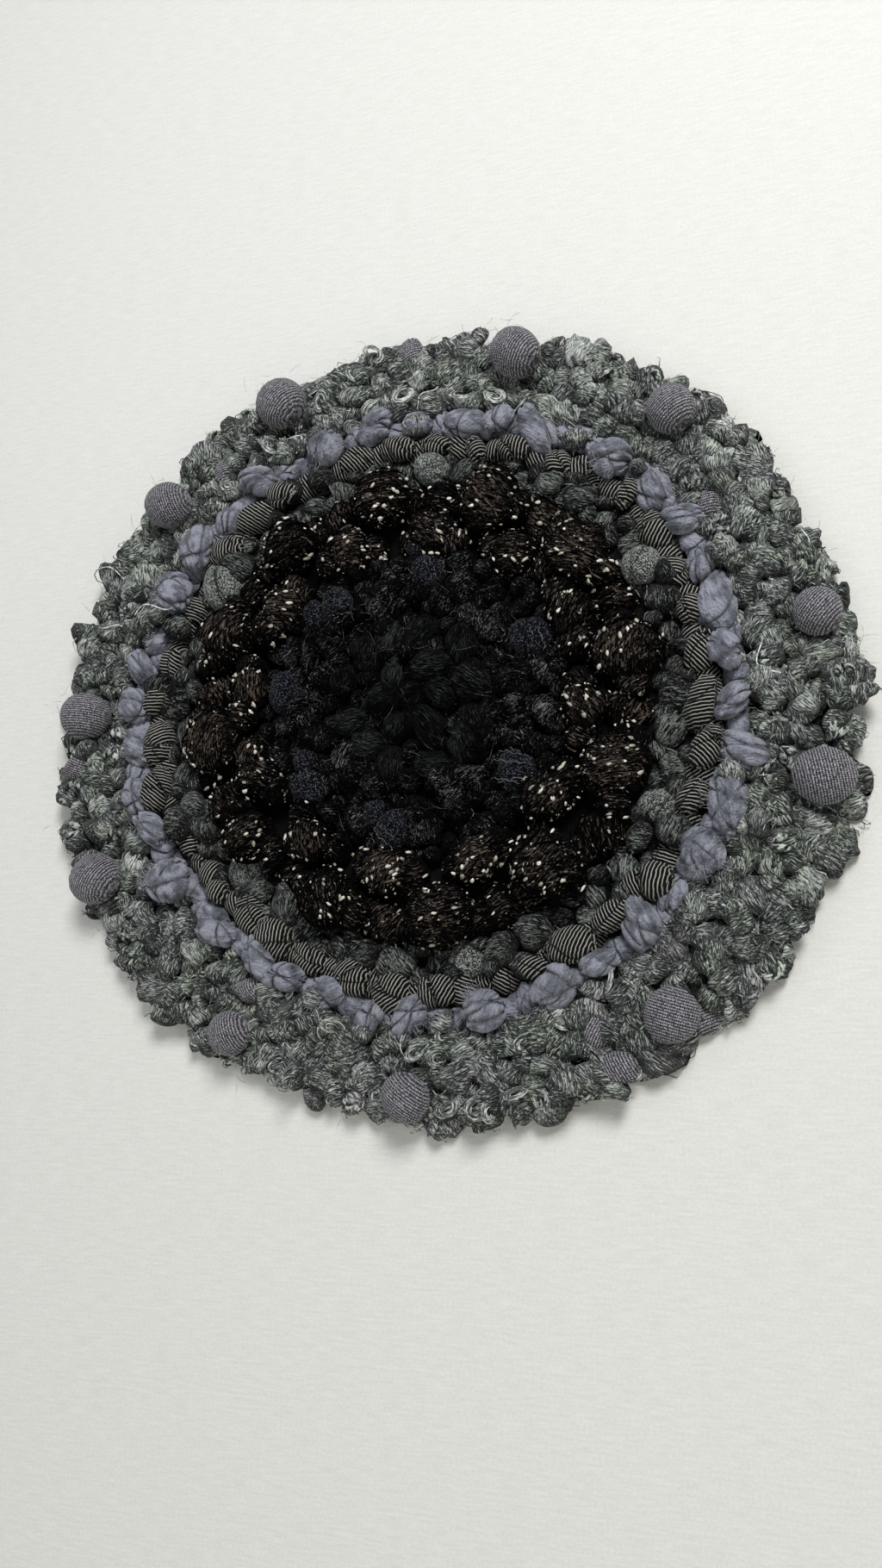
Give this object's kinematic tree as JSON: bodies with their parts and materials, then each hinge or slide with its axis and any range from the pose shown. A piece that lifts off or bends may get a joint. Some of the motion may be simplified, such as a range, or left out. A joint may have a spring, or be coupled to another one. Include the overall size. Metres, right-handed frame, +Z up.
{
  "type": "round textile wall hanging",
  "caption": "Thick round wall hanging of knotted wool, slub yarn, jersey and rag strip, black in the middle and grey at its rim.",
  "frame": {"origin": "the hanging point, on the flat back just below the top edge, where the piece touches the wall", "axes": "+Z up, +X to the right seen from the front, the front faces -Y and the wall is the plane Y = 0"},
  "size_m": [0.6903, 0.0544, 0.6855],
  "materials": {
    "black_boucle": "black boucle and mohair yarn in curled loops",
    "blue_black_boucle": "blue-black boucle yarn, wound",
    "slub_yarn": "black-brown yarn with cream slubs",
    "dark_tweed": "dark green-grey tweed wool, knotted",
    "striped_jersey": "fine striped jersey, black and cream, twisted",
    "violet_cotton": "violet-grey cotton rag strip, creased",
    "heather_jersey": "violet-grey heather jersey over a round filling",
    "grey_wool": "grey-green wool and mohair in tufts and curls"
  },
  "bodies": {
    "root": {"black_pile": "black_boucle", "slub_ground": "slub_yarn", "tweed_round": "dark_tweed", "striped_rope": "striped_jersey", "rag_rope": "violet_cotton", "wool_field": "grey_wool", "slub_ball_large_01": "slub_yarn", "slub_ball_large_02": "slub_yarn", "slub_ball_large_03": "slub_yarn", "slub_ball_large_04": "slub_yarn", "slub_ball_large_05": "slub_yarn", "slub_ball_large_06": "slub_yarn", "slub_ball_large_07": "slub_yarn", "slub_ball_large_08": "slub_yarn", "slub_ball_large_09": "slub_yarn", "slub_ball_large_10": "slub_yarn", "slub_ball_large_11": "slub_yarn", "slub_ball_large_12": "slub_yarn", "slub_ball_small_01": "slub_yarn", "slub_ball_small_02": "slub_yarn", "slub_ball_small_03": "slub_yarn", "slub_ball_small_04": "slub_yarn", "slub_ball_small_05": "slub_yarn", "slub_ball_small_06": "slub_yarn", "slub_ball_small_07": "slub_yarn", "slub_ball_small_08": "slub_yarn", "slub_ball_small_09": "slub_yarn", "slub_ball_small_10": "slub_yarn", "slub_ball_small_11": "slub_yarn", "slub_ball_small_12": "slub_yarn", "jersey_ball_01": "heather_jersey", "jersey_ball_02": "heather_jersey", "jersey_ball_03": "heather_jersey", "jersey_ball_04": "heather_jersey", "jersey_ball_05": "heather_jersey", "jersey_ball_06": "heather_jersey", "jersey_ball_07": "heather_jersey", "jersey_ball_08": "heather_jersey", "jersey_ball_09": "heather_jersey", "jersey_ball_10": "heather_jersey", "jersey_ball_11": "heather_jersey", "rag_knot_01": "violet_cotton", "rag_knot_02": "violet_cotton", "rag_knot_03": "violet_cotton", "rag_knot_04": "violet_cotton", "rag_knot_05": "violet_cotton", "rag_knot_06": "violet_cotton", "boucle_nub_01": "blue_black_boucle", "boucle_nub_02": "blue_black_boucle", "boucle_nub_03": "blue_black_boucle", "boucle_nub_04": "blue_black_boucle", "boucle_nub_05": "blue_black_boucle", "boucle_nub_06": "blue_black_boucle", "boucle_nub_07": "blue_black_boucle"}
  },
  "joints": []
}
